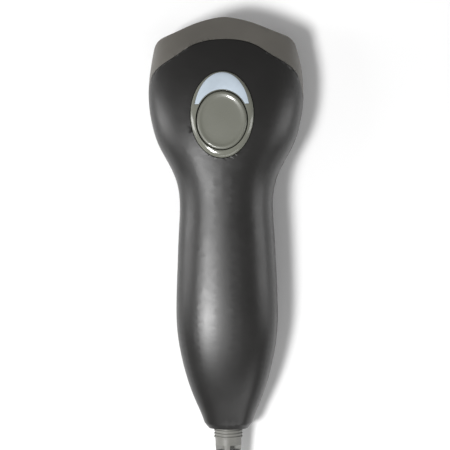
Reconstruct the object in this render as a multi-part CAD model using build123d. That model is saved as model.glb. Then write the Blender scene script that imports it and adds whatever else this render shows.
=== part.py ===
from build123d import *
import math
import os

os.makedirs("parts", exist_ok=True)

# A corded handheld barcode scanner, lying button side up. Millimetres. +Y runs to the nose, +Z is up, and
# the origin is on the surface that the scanner lies on, midway between the nose tip and the boot's end.

# ------------------------------------------------------------------------------------- driving dimensions
HEAD_WIDTH = 68.4
NECK_WIDTH = 41.0
HANDLE_WIDTH = 44.8
TAIL_WIDTH = 21.4
HEAD_LENGTH = 82.0  # nose tip to the narrowest part of the neck
HANDLE_LENGTH = 96.6  # neck to the crisp edge of the tail band
TAIL_BAND = 2.4  # bevelled band that closes the tail
BODY_HEIGHT = 33.0  # surface to the crown of the head
WALL = 2.0
SEAM_WIDTH = 0.35  # shadow gap along the parting line and round the nose cover
SEAM_DEPTH = 0.7
FIT = 0.25  # all-round clearance of pieces that drop into the housing
SLIDE = 0.45  # gap between the trigger button and its trim
MOVING_GAP = 0.3  # least distance between pieces of different bodies
SHAFT_GAP = 0.05  # radial clearance of a screw or plunger in its hole

# Nose and scanning window
MOUTH_LEAN = 14.0  # degrees that the mouth faces down
BEAK_LEVEL = 25.0  # height at which the front outline is set
WINDOW_BACK = 17.0  # window centre behind the nose tip
WINDOW_LEVEL = 12.0
WINDOW_SIDE = 8.2  # from the head's widest to the window's end
WINDOW_TALL = 13.0
WINDOW_THICK = 1.2
GASKET_THICK = 0.8
GASKET_LIP = 1.6
HOOD_FRONT = 2.5
HOOD_DEEP = 7.5
LED_BOARD_SHORT = 4.0  # from the window's end to the LED board's end
LED_PITCH = 9.0
LED_COUNT = 5
SPREADER_TALL = (3.0, 5.2)  # low and high side, above the window's middle
SPREADER_DEEP = 1.6
LED_DEEP = 1.4
LED_BOARD_THICK = 1.2

# Button group
BUTTON_BACK = 46.25
BUTTON_WIDTH = 21.7
BUTTON_LENGTH = 25.0
BUTTON_PROUD = 1.1
BUTTON_SKIN = 2.0
BUTTON_TRAVEL = 0.8
BUTTON_RIM = 2.1
BUTTON_DISH = 0.9
BUTTON_POST = 5.0
BUTTON_LIP = 0.9  # retaining flange, beyond the gap round the button
BUTTON_LIP_THICK = 1.1
TRIM_SIDE = 2.8  # surround beside, behind and ahead of the button
TRIM_REAR = 3.5
TRIM_AHEAD = 8.8
TRIM_PROUD = 0.35
TRIM_FLANGE = 1.4
TRIM_FLANGE_THICK = 1.2
LENS_SIDE = 1.7  # surround outside the indicator lens, at its sides and its front
LENS_AHEAD = 0.6
LENS_BRIDGE = 0.35
LENS_TIP_AHEAD = 7.0  # lens tips ahead of the button's middle
LENS_TIP_ROUND = 0.5
LENS_GAP = 0.08
LENS_PROUD = 0.25

# Electronics
BOARD_THICK = 1.6
BOARD_BELOW_CROWN = 12.6
BOARD_FRONT = 33.0
BOARD_TO_POST = 0.5
BOARD_SIDE_ROOM = 2.2
BOARD_STEP_BACK = 49.0
BOARD_STEP_LONG = 19.0
BOARD_END_FROM_TAIL = 42.0
SWITCH_SIDE = 6.0
SWITCH_TALL = 3.5
SWITCH_BORE = 2.6
PLUNGER_DIAMETER = 3.2
PLUNGER_TALL = 2.4
SENSOR_BACK = 66.0
LENS_BACK = 46.0
BARREL_DIAMETER = 8.6
BARREL_LENGTH = 12.0
BARREL_BORE = 5.2
LENS_DIAMETER = 6.6
LENS_SEAT = 2.2  # depth of the counterbore for the front element
CHASSIS_TO_POST = 1.5
CHASSIS_WALL = 1.5
CHASSIS_LIP = 1.6  # floor of the tray
CHASSIS_FRONT = 35.0
CHASSIS_BACK = 70.0
CHASSIS_FLOOR = 7.2
CHASSIS_SCREW_IN = 3.5
CRADLE = (14.0, 7.0, 5.2)  # block that holds the barrel: width, length, height above its axis
SENSOR_BOARD_THICK = 1.2
SENSOR_SHORT = 3.0  # from the tray's side to the sensor's end
SENSOR_DEEP = 2.6
SENSOR_TALL = 6.4
PIN_PITCH = 2.54

# Screws: shaft diameter, head diameter, head height
HOUSING_SCREW = (2.5, 4.4, 1.7)
BOARD_SCREW = (2.0, 3.8, 1.4)
HOUSING_POST = 5.8
BOARD_POST = 4.6
HEAD_POST_IN = 8.8  # in from the head's widest
HEAD_POST_BACK = 40.0
HANDLE_POST_IN = 9.1  # in from the handle's side
HANDLE_POST_FROM_TAIL = 31.0
BOARD_POST_IN = 2.7  # in from the board's side
BOARD_POST_BACK = 39.0
BOARD_REAR_POST_SIDE = 5.5
BOARD_REAR_POST_IN = 6.0
HEAD_SEAT = 8.0  # where the housing screws' heads seat, above the surface
HANDLE_SEAT = 4.8
SCREW_LENGTH = 14.0
BOARD_SCREW_LENGTH = 6.0
CHASSIS_SCREW_LENGTH = 3.0
CLAMP_SCREW_LENGTH = 5.0
CLEARANCE_HOLE = 0.2  # radial clearance of a screw in the piece that it holds down
TIP = 0.6  # length of a screw's point, as a share of its diameter

# Cable and strain relief
CABLE_DIAMETER = 4.5
BOOT_LEVEL = 10.6
BOOT_OUT = 26.0
BOOT_DIAMETER = 11.5
BOOT_END_DIAMETER = 8.0
BOOT_RIB_DIAMETER = 12.6
BOOT_RIBS = 3
BOOT_RIB_PITCH = 1.35
BOOT_RIB_START = 0.5
BOOT_PLAIN = 2.8  # plain stretch between the ribs and the first slots
BOOT_NECK_DIAMETER = 9.0
BOOT_FLANGE_DIAMETER = 11.4
BOOT_FLANGE_THICK = 2.2
BOOT_ROWS = 3
BOOT_SLOT_TALL = 2.6
BOOT_ROW_PITCH = 4.9
BOOT_SPINE = 2.4
CLAMP_FROM_TAIL = 16.0
CABLE_IN = 21.0
COIL_DIAMETER = 54.0  # across the middle of the turns
COIL_WIDE = 26.0
COIL_TALL = 2 * CABLE_DIAMETER + 0.2
COIL_CENTRE = (-18.0, 86.0)  # right of the boot's axis, and behind the boot's end
PLUG_BODY = (15.4, 27.0, 7.8)
PLUG_SHELL = (12.0, 18.75, 4.5)
PLUG_SHELL_OUT = 12.0
PLUG_SHELL_WALL = 0.3
PLUG_NECK = (8.0, 9.0)
TIE_WIDTH = 12.0
TIE_THICK = 1.4

LABEL_WIDTH = 20.0
LABEL_LENGTH = 38.0
LABEL_RECESS = 0.4
LABEL_THICK = 0.15
LABEL_BACK = 128.0

# ------------------------------------------------------------------------------------- worked out from them
TAIL = HEAD_LENGTH + HANDLE_LENGTH + TAIL_BAND
NOSE_Y = (TAIL + BOOT_OUT) / 2
WINDOW_WIDTH = HEAD_WIDTH - 2 * WINDOW_SIDE
HOOD_REAR = HOOD_FRONT - HOOD_DEEP
TRIM_WIDTH = BUTTON_WIDTH + 2 * TRIM_SIDE
TRIM_LENGTH = TRIM_AHEAD + BUTTON_LENGTH + TRIM_REAR
TRIM_BACK = BUTTON_BACK + (TRIM_REAR - TRIM_AHEAD) / 2
BOARD_TOP = BODY_HEIGHT - BOARD_BELOW_CROWN
BOARD_UNDER = BOARD_TOP - BOARD_THICK
SWITCH_TOP = BOARD_TOP + SWITCH_TALL
PLUNGER_TOP = SWITCH_TOP + PLUNGER_TALL
HEAD_POST_X = HEAD_WIDTH / 2 - HEAD_POST_IN
BOARD_HEAD_HALF = HEAD_POST_X - HOUSING_POST / 2 - BOARD_TO_POST
BOARD_POST_X = BOARD_HEAD_HALF - BOARD_POST_IN
BOARD_END = TAIL - BOARD_END_FROM_TAIL
CHASSIS_WIDTH = 2 * (BOARD_POST_X - BOARD_POST / 2 - CHASSIS_TO_POST)
SENSOR_WIDTH = CHASSIS_WIDTH - 2 * SENSOR_SHORT
OPTIC_LEVEL = (CHASSIS_FLOOR + BOARD_UNDER) / 2 + 0.2
CABLE_BORE = CABLE_DIAMETER / 2 + 0.01
FAR = 80.0  # half size of the solids that only cut

# Housing sections. Head rows: share of the head's length, share of the way from neck width to head width,
# then lowest, widest and highest point as shares of the height. Handle rows: the same along the handle, with
# the width share measured from the neck, and from the tail behind the fullest part of the handle.
HEAD_ROWS = [
    (-0.04, 0.70, 0.01, 0.40, 0.66),
    (0.07, 0.78, -0.02, 0.41, 0.755),
    (0.17, 0.85, -0.02, 0.42, 0.84),
    (0.27, 0.94, 0.01, 0.425, 0.905),
    (0.37, 1.0, 0.04, 0.43, 0.95),
    (0.47, 0.985, 0.07, 0.43, 0.98),
    (0.57, 0.885, 0.095, 0.43, 0.998),
    (0.67, 0.70, 0.112, 0.43, 1.0),
    (0.77, 0.385, 0.12, 0.43, 0.99),
    (0.87, 0.11, 0.11, 0.43, 0.975),
    (1.0, 0.0, 0.085, 0.425, 0.957),
]
HANDLE_ROWS = [
    (0.12, 0.28, 0.03, 0.42, 0.944),
    (0.26, 0.62, -0.02, 0.415, 0.93),
    (0.42, 0.95, -0.035, 0.41, 0.912),
]
REAR_ROWS = [
    (0.56, 0.985, -0.03, 0.40, 0.882),
    (0.69, 0.835, -0.01, 0.38, 0.83),
    (0.81, 0.585, 0.025, 0.35, 0.75),
    (0.91, 0.285, 0.055, 0.32, 0.655),
    (1.0, 0.0, 0.085, 0.29, 0.565),
]
CROWN = 0.71  # fullness of the upper quarters of a section; 0.55 is an ellipse
BELLY = 0.76
SPLIT_ABOVE_WIDEST = 1.3


def back(distance):
    """Y of a place that lies this far behind the nose tip."""
    return NOSE_Y - distance


def stations():
    """Place, half width, lowest, widest and highest point of each housing section."""
    rows = []
    neck = NECK_WIDTH / 2
    for along, share, low, wide, top in HEAD_ROWS:
        half = neck + share * (HEAD_WIDTH / 2 - neck)
        rows.append((along * HEAD_LENGTH, half, low * BODY_HEIGHT, wide * BODY_HEIGHT, top * BODY_HEIGHT))
    for along, share, low, wide, top in HANDLE_ROWS:
        half = neck + share * (HANDLE_WIDTH / 2 - neck)
        place = HEAD_LENGTH + along * HANDLE_LENGTH
        rows.append((place, half, low * BODY_HEIGHT, wide * BODY_HEIGHT, top * BODY_HEIGHT))
    for along, share, low, wide, top in REAR_ROWS:
        half = TAIL_WIDTH / 2 + share * (HANDLE_WIDTH - TAIL_WIDTH) / 2
        place = HEAD_LENGTH + along * HANDLE_LENGTH
        rows.append((place, half, low * BODY_HEIGHT, wide * BODY_HEIGHT, top * BODY_HEIGHT))
    return rows


STATIONS = stations()


def housing_at(distance):
    """Half width, lowest, widest and highest point of the housing, straight lines between sections."""
    for ahead, behind in zip(STATIONS, STATIONS[1:]):
        if distance <= behind[0]:
            share = (distance - ahead[0]) / (behind[0] - ahead[0])
            return [a + share * (b - a) for a, b in zip(ahead[1:], behind[1:])]
    return list(STATIONS[-1][1:])


def section(row, grow):
    """Closed outline of the housing at one station, grown outwards by grow."""
    place, half, low, wide, top = row
    y = back(place)
    half = half + grow
    edges = []
    crown = (top + grow, CROWN)
    belly = (low - grow, BELLY)
    quarters = [(half, *crown), (-half, *crown), (-half, *belly), (half, *belly)]
    for index, (x, z, full) in enumerate(quarters):
        side = [(x, y, wide), (x, y, wide + full * (z - wide)), (full * x, y, z), (0, y, z)]
        if index % 2:
            side.reverse()
        edges.append(Bezier(*side))
    return Wire(edges)


def housing(grow):
    """Solid of the housing's outer form, grown by grow."""
    return Solid.make_loft([section(row, grow) for row in STATIONS])


def face_from(*curves):
    """Flat face bounded by curves that meet end to end."""
    return Face(Wire([edge for curve in curves for edge in curve.edges()]))


def slab(near, far):
    """Everything between two distances behind the nose tip."""
    return Pos(0, back((near + far) / 2), 0) * Box(2 * FAR, far - near, 2 * FAR)


def above(level):
    """Everything above a height."""
    return Pos(0, 0, level + FAR) * Box(4 * FAR, 4 * FAR, 2 * FAR)


def below(level):
    """Everything below a height."""
    return Pos(0, 0, level - FAR) * Box(4 * FAR, 4 * FAR, 2 * FAR)


def split_points(lift):
    """Side view of the parting line, lifted by lift, from ahead of the nose to behind the tail."""
    keys = [STATIONS[i] for i in (0, 4, 8, 11, 13, 15, 18)]
    points = [(0, back(row[0]), row[3] + SPLIT_ABOVE_WIDEST + lift) for row in keys]
    end = points[-1]
    return [(0, points[0][1] + 20, points[0][2])] + points + [(0, end[1] - 20, end[2] - 1.2)]


def above_split(lift):
    """Everything above the parting line."""
    curve = split_points(lift)
    roof = [curve[-1], (0, curve[-1][1], FAR), (0, curve[0][1], FAR), curve[0]]
    face = face_from(Spline(*curve), Polyline(*roof))
    return Solid.extrude(Pos(-FAR, 0, 0) * face, Vector(2 * FAR, 0, 0))


# Front outline seen from above: share of half the head's width, and distance behind the nose tip.
BEAK_OUTLINE = [(0.0, 0.0), (0.19, 1.0), (0.38, 3.0), (0.56, 5.55), (0.73, 7.6), (0.84, 8.8)]
BEAK_OUTLINE += [(0.90, 10.6), (0.935, 14.0), (0.985, 20.0), (1.12, 38.0)]
# Edge between the nose cover and the shells, in the same terms.
COVER_OUTLINE = [(0.0, 10.6), (0.205, 11.1), (0.41, 13.3), (0.614, 17.7)]
COVER_OUTLINE += [(0.78, 21.0), (0.92, 25.3), (0.975, 30.4), (1.06, 44.0)]


def mirrored_spline(outline, shift):
    """Curve through an outline's points on both sides, from left to right, moved back by shift."""
    right = [(x * HEAD_WIDTH / 2, back(s + shift)) for x, s in outline]
    left = [(-x, y) for x, y in reversed(right[1:])]
    return left + right


def closed_behind(points, y):
    """Straight sides of a face that is closed at y, from a curve's last point round to its first."""
    first, last = points[0], points[-1]
    return Polyline(last, (FAR, last[1]), (FAR, y), (-FAR, y), (-FAR, first[1]), first)


def front_keep():
    """Everything behind the nose's front outline, which leans so that the mouth faces down a little."""
    lean = math.tan(math.radians(MOUTH_LEAN))
    points = mirrored_spline(BEAK_OUTLINE, 0)
    face = face_from(Spline(*points), closed_behind(points, back(TAIL) - FAR))
    face = Pos(0, -(BEAK_LEVEL + FAR) * lean, -FAR) * face
    return Solid.extrude(face, Vector(0, 2 * FAR * lean, 2 * FAR))


def nose_zone(shift):
    """Everything ahead of the curved edge between the nose cover and the shells, moved back by shift."""
    points = mirrored_spline(COVER_OUTLINE, shift)
    face = face_from(Spline(*points), closed_behind(points, back(-FAR)))
    return Solid.extrude(Pos(0, 0, -FAR) * face, Vector(0, 0, 2 * FAR))


def tail_band():
    """Bevelled band that closes the tail."""
    rim = STATIONS[-1]
    end = (rim[0] + TAIL_BAND, rim[1] - 1.9, rim[2] + 1.7, rim[3], rim[4] - 1.7)
    return Solid.make_loft([section(rim, 0), section(end, 0)], ruled=True)


def posts(places, diameter):
    """Round posts through the whole height at (x, distance behind the nose tip)."""
    return [Pos(x, back(s), 0) * Cylinder(diameter / 2, 2 * FAR) for x, s in places]


def pair(x, s):
    """The same place on both sides."""
    return [(-x, s), (x, s)]


HANDLE_POST_BACK = TAIL - HANDLE_POST_FROM_TAIL
HANDLE_POST_X = housing_at(HANDLE_POST_BACK)[0] - HANDLE_POST_IN
HOUSING_SCREWS = pair(HEAD_POST_X, HEAD_POST_BACK) + pair(HANDLE_POST_X, HANDLE_POST_BACK)
HOUSING_SEATS = [HEAD_SEAT, HEAD_SEAT, HANDLE_SEAT, HANDLE_SEAT]
BOARD_REAR_HALF = min(housing_at(s)[0] for s in (HEAD_LENGTH, BOARD_END)) - WALL - BOARD_SIDE_ROOM
BOARD_SCREWS = pair(BOARD_POST_X, BOARD_POST_BACK)
BOARD_SCREWS += pair(BOARD_REAR_HALF - BOARD_REAR_POST_SIDE, BOARD_END - BOARD_REAR_POST_IN)
CHASSIS_SCREWS = pair(CHASSIS_WIDTH / 2 - CHASSIS_SCREW_IN, 43.0) + [(0.0, 60.5)]


def hollow_body():
    """Housing wall with its inner posts, before it is parted."""
    outer = (housing(0) + tail_band()) & front_keep()
    outer = outer & above(0)
    inner = housing(-WALL) & slab(-FAR, TAIL - TAIL_BAND - WALL)
    shell = outer - inner
    inside = housing(-WALL / 2)
    for post in posts(HOUSING_SCREWS, HOUSING_POST):
        shell = shell + (post & inside)
    return shell


def seams(shell_only):
    """Shadow grooves: along the parting line behind the nose, and round the nose cover's edge."""
    skin = housing(WALL) - housing(-SEAM_DEPTH)
    along = above_split(-SEAM_WIDTH / 2) - above_split(SEAM_WIDTH / 2)
    around = nose_zone(SEAM_WIDTH) - nose_zone(0)
    groove = (along - nose_zone(0)) + around if shell_only else around
    return groove & skin


def ellipse_column(width, length, centre, grow):
    """Upright oval column, used for the button group."""
    flat = Pos(0, back(centre), BODY_HEIGHT / 2) * Ellipse(width / 2 + grow, length / 2 + grow)
    return extrude(flat, FAR)


def trim_column(grow):
    return ellipse_column(TRIM_WIDTH, TRIM_LENGTH, TRIM_BACK, grow)


def button_column(grow):
    return ellipse_column(BUTTON_WIDTH, BUTTON_LENGTH, BUTTON_BACK, grow)


def lens_column(grow):
    """Crescent between the trim's front rim and the button."""
    flat = Ellipse(TRIM_WIDTH / 2 - LENS_SIDE + grow, TRIM_LENGTH / 2 - LENS_AHEAD + grow)
    flat = Pos(0, back(TRIM_BACK)) * flat
    room = SLIDE + LENS_BRIDGE - grow
    hole = Pos(0, back(BUTTON_BACK)) * Ellipse(BUTTON_WIDTH / 2 + room, BUTTON_LENGTH / 2 + room)
    rear = Pos(0, back(BUTTON_BACK - LENS_TIP_AHEAD + grow) - FAR / 2) * Rectangle(FAR, FAR)
    column = extrude(Pos(0, 0, BODY_HEIGHT / 2) * (flat - hole - rear), FAR)
    return fillet(column.edges().filter_by(Axis.Z), LENS_TIP_ROUND)


def upper_shell(body):
    shell = (body & above_split(0)) - nose_zone(0)
    shell = shell - seams(True) - trim_column(FIT)
    for (x, s), seat in zip(HOUSING_SCREWS, HOUSING_SEATS):
        top = seat + SCREW_LENGTH + TIP * HOUSING_SCREW[0] + 0.4
        shell = shell - Pos(x, back(s), top - FAR) * Cylinder(HOUSING_SCREW[0] / 2 + SHAFT_GAP, 2 * FAR)
    return shell - boot_solid(0.02)


def lower_shell(body):
    shell = (body - above_split(0)) - nose_zone(0)
    shell = shell - seams(True)
    inside = housing(-WALL / 2)
    for post in posts(BOARD_SCREWS, BOARD_POST):
        shell = shell + (post & inside & below(BOARD_UNDER))
    for post in posts(CHASSIS_SCREWS, BOARD_POST):
        shell = shell + (post & inside & below(CHASSIS_FLOOR))
    shell = shell + (clamp_seat() & inside)
    for (x, s), seat in zip(HOUSING_SCREWS, HOUSING_SEATS):
        bore = Pos(x, back(s), 0) * Cylinder(HOUSING_SCREW[0] / 2 + FIT, 2 * FAR)
        sink = Pos(x, back(s), seat - FAR) * Cylinder(HOUSING_SCREW[1] / 2 + FIT, 2 * FAR)
        shell = shell - bore - sink
    for x, s in BOARD_SCREWS:
        shell = shell - screw_hole(x, s, BOARD_UNDER, BOARD_SCREW_LENGTH + 1.0)
    for x, s in CHASSIS_SCREWS:
        shell = shell - screw_hole(x, s, CHASSIS_FLOOR, CHASSIS_SCREW_LENGTH - 0.1)
    for x, s in CLAMP_SCREWS:
        shell = shell - screw_hole(x, s, BOOT_LEVEL, CLAMP_SCREW_LENGTH)
    recess = Pos(0, back(LABEL_BACK), 0) * Box(LABEL_WIDTH + 0.6, LABEL_LENGTH + 0.6, 2 * LABEL_RECESS)
    recess = fillet(recess.edges().filter_by(Axis.Z), 1.5)
    return shell - recess - boot_solid(0.02)


def screw_hole(x, s, top, deep):
    """Pilot hole for a board screw, from a seat down."""
    return Pos(x, back(s), top - deep / 2 + 0.5) * Cylinder(BOARD_SCREW[0] / 2 + SHAFT_GAP, deep + 1.0)


def screw(size, length):
    """Pan-head screw, pointing down from a seat at z = 0, with a cross recess."""
    shaft, head, tall = size
    body = Pos(0, 0, -length / 2) * Cylinder(shaft / 2, length)
    cap = Pos(0, 0, tall / 2) * Cylinder(head / 2, tall)
    cap = fillet(cap.edges().filter_by(GeomType.CIRCLE).sort_by(Axis.Z)[-1:], 0.35 * tall)
    cross = Box(0.52 * head, 0.14 * head, 0.9 * tall) + Box(0.14 * head, 0.52 * head, 0.9 * tall)
    tip = Pos(0, 0, -length - TIP * shaft / 2) * Cone(0.25 * shaft, 0.5 * shaft, TIP * shaft)
    return body + cap + tip - Pos(0, 0, tall) * cross


def nose_cover(body):
    return (body & nose_zone(0)) - seams(False)


WINDOW = Pos(0, back(WINDOW_BACK), WINDOW_LEVEL) * Rot(-MOUTH_LEAN, 0, 0)


def leaning_box(x_size, y_near, y_far, z_low, z_high, x=0.0):
    """Box in the window's own frame, where +Y looks out of the mouth."""
    block = Box(x_size, abs(y_far - y_near), z_high - z_low)
    return WINDOW * Pos(x, (y_near + y_far) / 2, (z_low + z_high) / 2) * block


def scan_hood():
    """Black frame that closes the mouth round the window."""
    block = housing(-WALL - FIT) & leaning_box(2 * FAR, HOOD_FRONT - HOOD_DEEP, HOOD_FRONT, -FAR, FAR)
    half = WINDOW_TALL / 2
    tunnel = leaning_box(WINDOW_WIDTH - 2 * GASKET_LIP, -FAR, FAR, GASKET_LIP - half, half - GASKET_LIP)
    pocket = leaning_box(WINDOW_WIDTH + 2 * FIT, -GASKET_THICK - WINDOW_THICK, FAR, -half - FIT, half + FIT)
    return block - tunnel - pocket


def scan_window():
    half = WINDOW_TALL / 2
    return leaning_box(WINDOW_WIDTH, -WINDOW_THICK, 0, -half, half)


def window_gasket():
    half = WINDOW_TALL / 2
    near = -WINDOW_THICK - GASKET_THICK
    ring = leaning_box(WINDOW_WIDTH, near, -WINDOW_THICK, -half, half)
    lip = GASKET_LIP - 0.2
    return ring - leaning_box(WINDOW_WIDTH - 2 * lip, -FAR, FAR, lip - half, half - lip)


LED_FACE = HOOD_REAR - SPREADER_DEEP
LED_SEAT = LED_FACE - LED_DEEP
LED_BOARD_REAR = LED_SEAT - LED_BOARD_THICK


def light_spreader():
    return leaning_box(WINDOW_WIDTH - 2 * GASKET_LIP - 1, LED_FACE, HOOD_REAR, *SPREADER_TALL)


def illumination_leds():
    level = sum(SPREADER_TALL) / 2
    leds = []
    for step in range(LED_COUNT):
        x = (step - (LED_COUNT - 1) / 2) * LED_PITCH
        leds.append(leaning_box(2.8, LED_SEAT, LED_FACE, level - 0.8, level + 0.8, x).solid())
    return Compound(children=leds)


def led_board():
    return leaning_box(WINDOW_WIDTH - 2 * LED_BOARD_SHORT, LED_BOARD_REAR, LED_SEAT, 2.4, 7.4)


def led_ribbon():
    """Flat cable from the back of the LED board to the underside of the main board."""
    start = (WINDOW * Pos(0, LED_BOARD_REAR, 4.9)).position
    near = (0, start.Y - 0.15, start.Z)
    bend = (0, near[1] - 2.0, near[2] - 0.3)
    end = back(BOARD_FRONT + 6)
    line = FilletPolyline(near, bend, (0, end, BOARD_UNDER - 1.4), (0, end, BOARD_UNDER), radius=[0.8, 0.8])
    across = Plane(origin=near, z_dir=Vector(*bend) - Vector(*near), x_dir=(1, 0, 0))
    return sweep(across * Rectangle(9.0, 0.3), path=line)


def optics_chassis():
    """Open tray that lines up the lens with the image sensor."""
    length = CHASSIS_BACK - CHASSIS_FRONT
    middle = back((CHASSIS_BACK + CHASSIS_FRONT) / 2)
    tall = BOARD_UNDER - 0.6 - CHASSIS_FLOOR
    tray = Pos(0, middle, CHASSIS_FLOOR + tall / 2) * Box(CHASSIS_WIDTH, length, tall)
    room = Box(CHASSIS_WIDTH - 2 * CHASSIS_WALL, 3 * length, 2 * tall)
    tray = tray - Pos(0, middle, CHASSIS_FLOOR + CHASSIS_LIP + tall) * room
    centre = back(LENS_BACK + BARREL_LENGTH / 2)
    cradle_tall = OPTIC_LEVEL + CRADLE[2] - CHASSIS_FLOOR
    tray = tray + Pos(0, centre, CHASSIS_FLOOR + cradle_tall / 2) * Box(CRADLE[0], CRADLE[1], cradle_tall)
    bore = Pos(0, centre, OPTIC_LEVEL) * Rot(90, 0, 0)
    tray = tray - bore * Cylinder(BARREL_DIAMETER / 2 + SHAFT_GAP, 3 * BARREL_LENGTH)
    for hole in posts(CHASSIS_SCREWS, BOARD_SCREW[0] + 2 * CLEARANCE_HOLE):
        tray = tray - (hole & below(CHASSIS_FLOOR + 2 * CHASSIS_LIP))
    tray = tray - sensor_slot()
    return tray & housing(-WALL - FIT)


def sensor_slot():
    """Groove in the tray's floor and sides that the sensor board drops into."""
    width = CHASSIS_WIDTH - 2 * CHASSIS_WALL + 1.0
    slot = Box(width, SENSOR_BOARD_THICK + 0.1, 2 * FAR)
    return Pos(0, back(SENSOR_BACK + SENSOR_BOARD_THICK / 2), CHASSIS_FLOOR + 1.0 + FAR) * slot


def sensor_board():
    width = CHASSIS_WIDTH - 2 * CHASSIS_WALL + 0.8
    low = CHASSIS_FLOOR + 1.1
    high = BOARD_UNDER - 0.8
    board = Box(width, SENSOR_BOARD_THICK, high - low)
    return Pos(0, back(SENSOR_BACK + SENSOR_BOARD_THICK / 2), (low + high) / 2) * board


def image_sensor():
    """Linear sensor: a package with its long narrow glass."""
    package = Box(SENSOR_WIDTH, SENSOR_DEEP, SENSOR_TALL)
    slit = Pos(0, SENSOR_DEEP / 2, 0) * Box(SENSOR_WIDTH - 4, 0.8, 2.0)
    return Pos(0, back(SENSOR_BACK - SENSOR_DEEP / 2), OPTIC_LEVEL) * (package - slit)


def sensor_pins():
    """Two rows of soldered pins behind the sensor board."""
    pins = []
    count = round((SENSOR_WIDTH - 4.7) / PIN_PITCH)
    behind = back(SENSOR_BACK + SENSOR_BOARD_THICK + 0.5)
    for row in (-2.2, 2.2):
        for step in range(count):
            x = (step - (count - 1) / 2) * PIN_PITCH
            pins.append((Pos(x, behind, OPTIC_LEVEL + row) * Rot(90, 0, 0) * Cylinder(0.25, 1.0)).solid())
    return Compound(children=pins)


def lens_barrel():
    tube = Cylinder(BARREL_DIAMETER / 2, BARREL_LENGTH) - Cylinder(BARREL_BORE / 2, 2 * BARREL_LENGTH)
    tube = tube - Pos(0, 0, BARREL_LENGTH / 2) * Cylinder(LENS_DIAMETER / 2, 2 * LENS_SEAT)
    return Pos(0, back(LENS_BACK + BARREL_LENGTH / 2), OPTIC_LEVEL) * Rot(-90, 0, 0) * tube


def lens_glass():
    """Front element, seated in the barrel's counterbore."""
    curve = 8.0
    thick = 1.6
    glass = Cylinder(LENS_DIAMETER / 2 - SHAFT_GAP, thick) & Pos(0, 0, thick / 2 - curve) * Sphere(curve)
    return Pos(0, back(LENS_BACK + LENS_SEAT - thick / 2), OPTIC_LEVEL) * Rot(-90, 0, 0) * glass


def main_board():
    """One board, wide in the head and narrow through the neck and handle."""
    right = [(0, BOARD_FRONT), (BOARD_HEAD_HALF, BOARD_FRONT), (BOARD_HEAD_HALF, BOARD_STEP_BACK)]
    right += [(BOARD_REAR_HALF, BOARD_STEP_BACK + BOARD_STEP_LONG)]
    right += [(BOARD_REAR_HALF, BOARD_END), (0, BOARD_END)]
    outline = [(x, back(s)) for x, s in right] + [(-x, back(s)) for x, s in reversed(right[1:-1])]
    flat = make_face(Polyline(*outline, close=True))
    flat = fillet(flat.vertices().sort_by(Axis.X)[:2], 1.5)
    board = Pos(0, 0, BOARD_UNDER) * extrude(flat, BOARD_THICK)
    for hole in posts(BOARD_SCREWS, BOARD_SCREW[0] + 2 * CLEARANCE_HOLE):
        board = board - hole
    return board


def on_board(x, s, size, radius=0.3):
    """Moulded package that sits on the main board."""
    body = Pos(x, back(s), BOARD_TOP + size[2] / 2) * Box(*size)
    return fillet(body.edges().filter_by(Axis.Z), radius)


def leads(x, s, count, pitch, span, rows_along_y):
    """Two rows of small formed leads beside a package."""
    pins = []
    for side in (-1, 1):
        for step in range(count):
            along = (step - (count - 1) / 2) * pitch
            size = (1.0, 0.3, 0.5) if rows_along_y else (0.3, 1.0, 0.5)
            dx, dy = (side * span, along) if rows_along_y else (along, side * span)
            pins.append(Pos(x + dx, back(s) + dy, BOARD_TOP + size[2] / 2) * Box(*size))
    return pins


PROCESSOR_BACK = 84.0
MEMORY_BACK = 99.0
INTERFACE_BACK = 112.0
BUZZER_BACK = 70.0
CAPACITOR_PLACES = [(9.5, MEMORY_BACK), (-9.5, MEMORY_BACK), (9.5, 118.0)]
PASSIVE_COLUMNS = [-10.0, -6.0, -2.0, 4.0, 8.0]
PASSIVE_ROWS = [105.0, 114.0, 123.0]


def processor_chip():
    chip = on_board(0, PROCESSOR_BACK, (10, 10, 1.4))
    for pin in leads(0, PROCESSOR_BACK, 12, 0.75, 5.5, True) + leads(0, PROCESSOR_BACK, 12, 0.75, 5.5, False):
        chip = chip + pin
    return chip


def small_chip(s, size, count):
    chip = on_board(0, s, size)
    for pin in leads(0, s, count, 1.27, size[0] / 2 + 0.5, True):
        chip = chip + pin
    return chip


def crystal():
    return on_board(-11.0, PROCESSOR_BACK, (3.6, 10.0, 3.2), 1.7)


def buzzer():
    """Round sounder with a hole in its top."""
    radius = 5.0
    tall = 4.0
    can = Cylinder(radius, tall) - Pos(0, 0, tall / 2) * Cylinder(radius / 5, tall / 2)
    return Pos(0, back(BUZZER_BACK), BOARD_TOP + tall / 2) * can


def capacitors():
    radius = 2.4
    tall = 4.4
    cans = []
    for x, s in CAPACITOR_PLACES:
        can = Pos(x, back(s), BOARD_TOP + tall / 2) * Cylinder(radius, tall)
        cans.append(fillet(can.edges().sort_by(Axis.Z)[-1:], 0.4).solid())
    return Compound(children=cans)


def small_passives():
    """Small resistors and capacitors in rows, with room for the interface chip."""
    chips = []
    for s in PASSIVE_ROWS:
        for x in PASSIVE_COLUMNS:
            if abs(s - INTERFACE_BACK) > 5 or abs(x) > 3:
                chips.append((Pos(x, back(s), BOARD_TOP + 0.3) * Box(1.0, 1.8, 0.6)).solid())
    return Compound(children=chips)


def status_leds():
    """Two lamps under the indicator lens."""
    places = pair(5.0, BOARD_FRONT + 2.4)
    return Compound(children=[on_board(x, s, (3.2, 2.6, 1.6)).solid() for x, s in places])


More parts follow.
